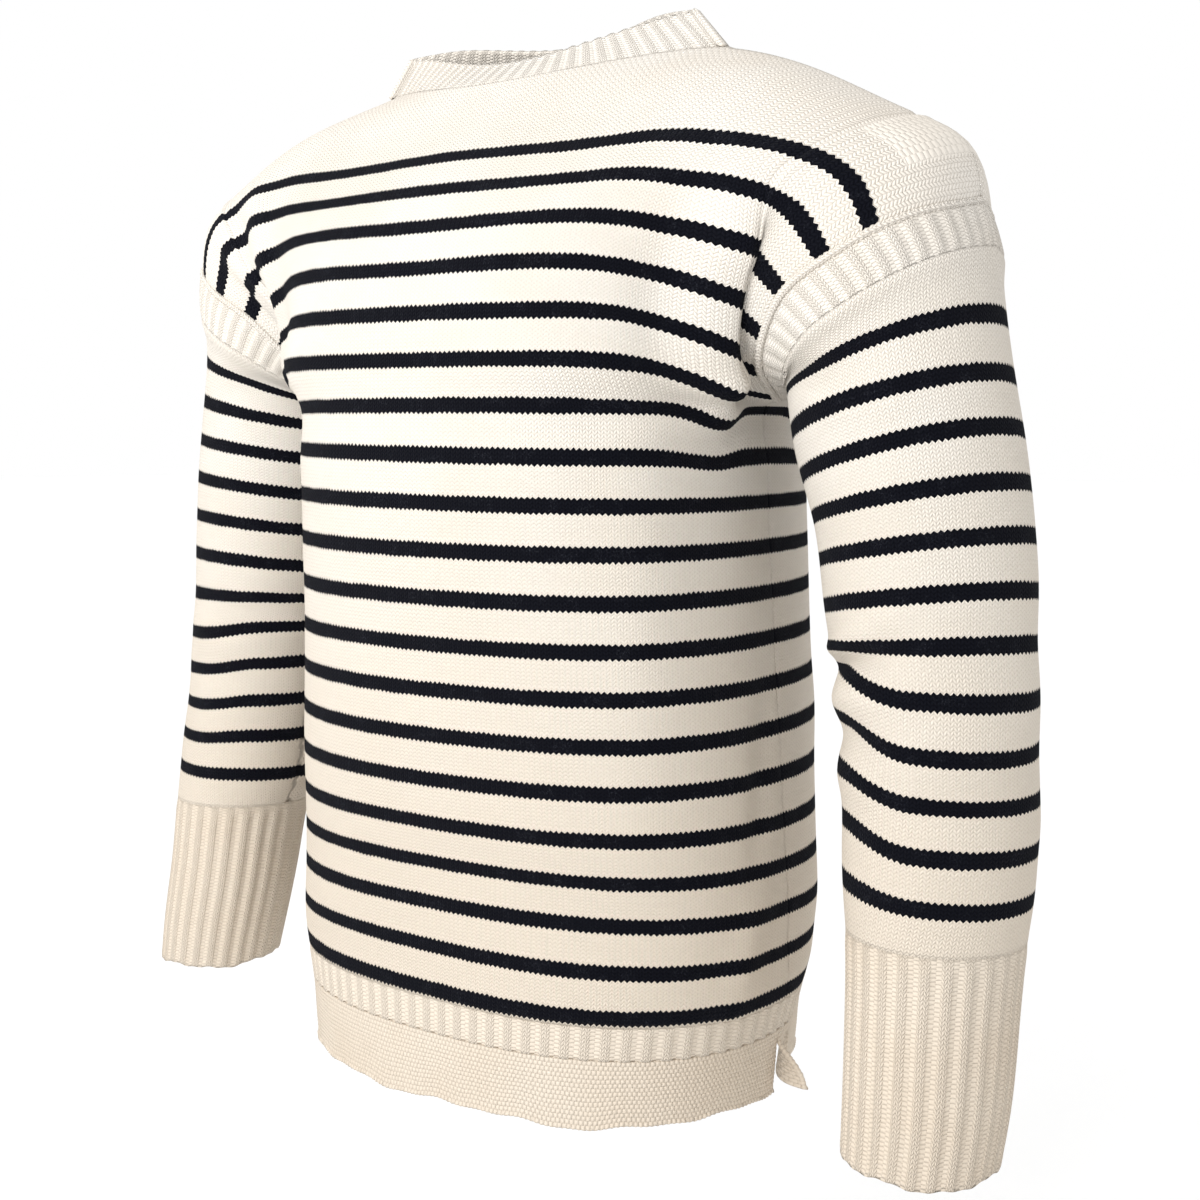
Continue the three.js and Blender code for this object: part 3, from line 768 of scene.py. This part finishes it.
def welt(name, is_back):
    across = columns(1.2)
    row = np.linspace(HEM_ROW, WELT_ROW, 80)
    s, t = np.meshgrid(across, row)
    hang = smooth((WELT_ROW - t) / (WELT_ROW - HEM_ROW))
    uneven = 1.3 * np.sin(s / 23) + 0.9 * np.sin(s / 11 + 1.3) + 0.5 * np.sin(s / 5.1)
    points = drawn(panel(s, t + hang * uneven, is_back), first=False)
    ridge = (t - HEM_ROW) / WELT_RIDGE
    ridges = np.abs(np.sin(np.pi * ridge)) ** 0.8
    beads = np.cos(2 * np.pi * (s / WELT_WALE + 0.5 * (np.floor(ridge) % 2)))
    if is_back:
        points = points + vent_corner(s, t) + hem_tuck(s, t)
    edge = bell(t - HEM_ROW, 2.4) * (0.9 + 0.5 * np.cos(2 * np.pi * s / WALE))
    relief = 0.3 * ridges + 0.2 * beads * ridges + edge
    u, v = s / WELT_WALE, ridge * 2
    return knitted(name, points, False, -1 if is_back else 1, u, v, welt_wool, relief=relief)


front_panel = body_panel("front_panel", False, FRONT_CREASES)
back_panel = body_panel("back_panel", True, BACK_CREASES)
front_rib = rib_band("front_rib_band", False)
back_rib = rib_band("back_rib_band", True)
front_welt = welt("front_garter_welt", False)
back_welt = welt("back_garter_welt", True)


# ---- sleeves and cuffs --------------------------------------------------------------
def wrapped(values):
    """Adds the first column again at the end."""
    return np.concatenate([values, values[:, :1]], 1)


def around(points):
    """Length round each ring from its first point, with one more column than the ring."""
    loop = wrapped(points)
    step = np.linalg.norm(np.diff(loop, axis=1), axis=-1)
    return np.concatenate([np.zeros((len(points), 1)), np.cumsum(step, 1)], 1)


def sleeve_grid(table, side, down, count, draw=True):
    angle = np.arange(count) / count * 2 * np.pi
    a, d = np.meshgrid(angle, down)
    points = arm(table, side, a, d)
    if draw:
        points = drawn(points, closed=True, sides=False)
    return points, a, d


def sleeve(name, table, side, folds, pull):
    down = np.concatenate([np.linspace(HEAD_END, 389, 122), [392, CUFF_TOP]])
    points, a, d = sleeve_grid(table, side, down, 120)
    run = around(points)
    total = run[:, -1:]
    round_ = np.where(run <= total / 2, run, run - total)[:, :-1]
    lift = creases(folds, round_, d)
    inner = smooth((a - 1.45) / 0.9) * smooth((4.1 - a) / 1.1)
    points[..., 2] += pull * inner * smooth((d - 215) / 50) * smooth((392 - d) / 60)
    seam = -1.3 * bell(np.pi - np.abs(np.where(a > np.pi, a - 2 * np.pi, a)), 0.06)
    v = wrapped(-(d - FIRST_SLEEVE_STRIPE) / ROW)
    u = np.where(run <= total / 2, run, run - total) / WALE
    return knitted(name, points, True, side, u, v, sleeve_wool, relief=seam, lift=lift)


def ribbed_ring(name, table, side, down, count, pitch, high, fades, material, end=0.0):
    points, a, d = sleeve_grid(table, side, down, count)
    run = around(points)
    ribs = round(float(run[0, -1]) / pitch)
    u = run / run[:, -1:] * 4 * ribs
    rise = smooth((d - down[0]) / fades[0]) * smooth((down[-1] - d) / fades[1])
    relief = (rib_wave(u[:, :-1]) - 0.55) * high * rise
    relief = relief + end * bell(down[-1] - d, 2.2)
    hang = end * smooth((d - down[0]) / (down[-1] - down[0]))
    points[..., 2] += hang * (1.6 * np.sin(4 * a + 1) + 1.1 * np.sin(9 * a) + 0.6 * np.sin(23 * a))
    v = wrapped(-d / ROW)
    return knitted(name, points, True, side, u, v, material, relief=relief)


sleeves, heads, cuffs, ridges = {}, {}, {}, {}
for word, side, table, folds in (("left", 1, LEFT_ARM, LEFT_CREASES),
                                 ("right", -1, RIGHT_ARM, RIGHT_CREASES)):
    sleeves[word] = sleeve(f"{word}_sleeve_knit", table, side, folds, 10.0 if side > 0 else 5.0)
    heads[word] = ribbed_ring(f"{word}_sleeve_head", table, side, np.linspace(1.0, HEAD_END, 16),
                              330, 11.5, 1.5, (3.0, 4.0), rib_wool)
    cuffs[word] = ribbed_ring(f"{word}_cuff_rib", table, side, np.linspace(CUFF_TOP, CUFF_END, 44),
                              300, 12.0, 1.7, (10.0, 0.5), cuff_wool, end=0.6)
    angle = np.arange(420) / 420 * 2 * np.pi
    edge = armhole(side, angle)
    outward = edge - np.array([side * 200.0, -8.0, 130.0])
    outward /= np.linalg.norm(outward, axis=1, keepdims=True)
    path = edge + outward * 1.0 - np.array([side * 1.2, 0, 0])
    ridges[word] = tube(f"{word}_armhole_ridge", path, 2.5, 3.4, edge_wool)

# ---- collar -------------------------------------------------------------------------
half = np.linspace(-NECK_HALF, NECK_HALF, 170)[:-1]
shares = np.linspace(0, 1, 16)
across, share = np.meshgrid(half, shares)
collar_points = np.concatenate([collar_ring(across, False, share),
                                collar_ring(-across, True, share)], 1)
collar_points = drawn(collar_points, closed=True, last=False, sides=False)
run = around(collar_points)
collar_u = run / run[:, -1:] * 4 * round(float(run[0, -1]) / 10.5)
share2 = np.concatenate([share, share], 1)
collar_relief = (rib_wave(collar_u[:, :-1]) - 0.5) * 1.0 * smooth(share2 / 0.15)
collar_relief = collar_relief + 0.9 * bell((1 - share2) * COLLAR_SLANT, 2.0)
collar = knitted("neck_band", collar_points, True, 1, collar_u,
                 wrapped(share2 * COLLAR_SLANT / ROW), rib_wool, relief=collar_relief)

# ---- each piece on the root, its CAD part hidden ------------------------------------
BODY_WIDTH = 2 * HALF_WIDTH / 1000
for piece, node, slot_name, flat, rests in (
        (front_panel, "front_body", "knit", (BODY_WIDTH, 0.611), ["back_panel", "neck_band"]),
        (back_panel, "back_body", "knit", (BODY_WIDTH, 0.611), ["front_panel", "neck_band"]),
        (front_rib, "front_body", "rib", (BODY_WIDTH, 0.0195), ["front_panel"]),
        (back_rib, "back_body", "rib", (BODY_WIDTH, 0.0195), ["back_panel"]),
        (front_welt, "front_welt", "welt", (BODY_WIDTH, 0.0425), ["front_rib_band"]),
        (back_welt, "back_welt", "welt", (BODY_WIDTH, 0.0425), ["back_rib_band"]),
        (sleeves["left"], "left_sleeve", "knit", (0.37, 0.368), ["left_sleeve_head"]),
        (sleeves["right"], "right_sleeve", "knit", (0.37, 0.368), ["right_sleeve_head"]),
        (heads["left"], "left_sleeve", "rib", (0.43, 0.026), ["front_panel", "back_panel"]),
        (heads["right"], "right_sleeve", "rib", (0.43, 0.026), ["front_panel", "back_panel"]),
        (cuffs["left"], "left_cuff", "rib", (0.30, 0.115), ["left_sleeve_knit"]),
        (cuffs["right"], "right_cuff", "rib", (0.30, 0.115), ["right_sleeve_knit"]),
        (collar, "collar", "rib", (0.45, 0.029), ["front_panel", "back_panel"])):
    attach(piece, "root")
    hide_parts(node)
for ridge in ridges.values():
    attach(ridge, "root")

# ---- floor, light and camera --------------------------------------------------------
floor_mesh = bpy.data.meshes.new("floor")
low = cad_box[0][2] - 0.32
reach = 30.0
floor_mesh.from_pydata([(-reach, -reach, low), (reach, -reach, low), (reach, reach, low),
                        (-reach, reach, low)], [], [(0, 1, 2, 3)])
floor = bpy.data.objects.new("floor", floor_mesh)
bpy.context.scene.collection.objects.link(floor)
floor_paint = bpy.data.materials.new("floor_paint")
floor_paint.use_nodes = True
paint = floor_paint.node_tree.nodes["Principled BSDF"]
paint.inputs["Base Color"].default_value = (0.92, 0.92, 0.92, 1)
paint.inputs["Roughness"].default_value = 1.0
paint.inputs["Emission Color"].default_value = (1, 1, 1, 1)
paint.inputs["Emission Strength"].default_value = 0.09
floor_mesh.materials.append(floor_paint)

scene = bpy.context.scene
scene.view_settings.view_transform = "Standard"
world = bpy.data.worlds.new("studio")
scene.world = world
world.use_nodes = True
world.node_tree.nodes["Background"].inputs["Color"].default_value = (1, 1, 1, 1)
world.node_tree.nodes["Background"].inputs["Strength"].default_value = 1.0


def area_light(name, place, target, size, power, colour=(1, 1, 1)):
    data = bpy.data.lights.new(name, "AREA")
    data.shape, data.size, data.energy, data.color = "SQUARE", size, power, colour
    light = bpy.data.objects.new(name, data)
    way = np.array(target, float) - np.array(place, float)
    back = -way / np.linalg.norm(way)
    right = np.cross([0, 0, 1], back)
    right /= np.linalg.norm(right)
    up = np.cross(back, right)
    turn = Matrix([[*row, 0] for row in np.stack([right, up, back], 1).tolist()] + [[0, 0, 0, 1]])
    light.matrix_world = Matrix.Translation(place) @ turn
    scene.collection.objects.link(light)
    return light


area_light("key", (-0.15, -1.35, 0.2), (0, 0, 0.5), 1.0, 21.0)

CAMERA_AT = (0.6179, -0.7964, -0.2323)
HEADING, PITCH = 0.624, 0.103
data = bpy.data.cameras.new("camera")
data.sensor_width, data.lens = 36.0, 45.0
data.clip_start = 0.05
camera = bpy.data.objects.new("camera", data)
forward = np.array([-math.sin(HEADING) * math.cos(PITCH), math.cos(HEADING) * math.cos(PITCH),
                    -math.sin(PITCH)])
right = np.array([math.cos(HEADING), math.sin(HEADING), 0])
up = np.cross(right, forward)
turn = Matrix([[*row, 0] for row in np.stack([right, up, -forward], 1).tolist()] + [[0, 0, 0, 1]])
camera.matrix_world = Matrix.Translation(CAMERA_AT) @ turn
scene.collection.objects.link(camera)
scene.camera = camera
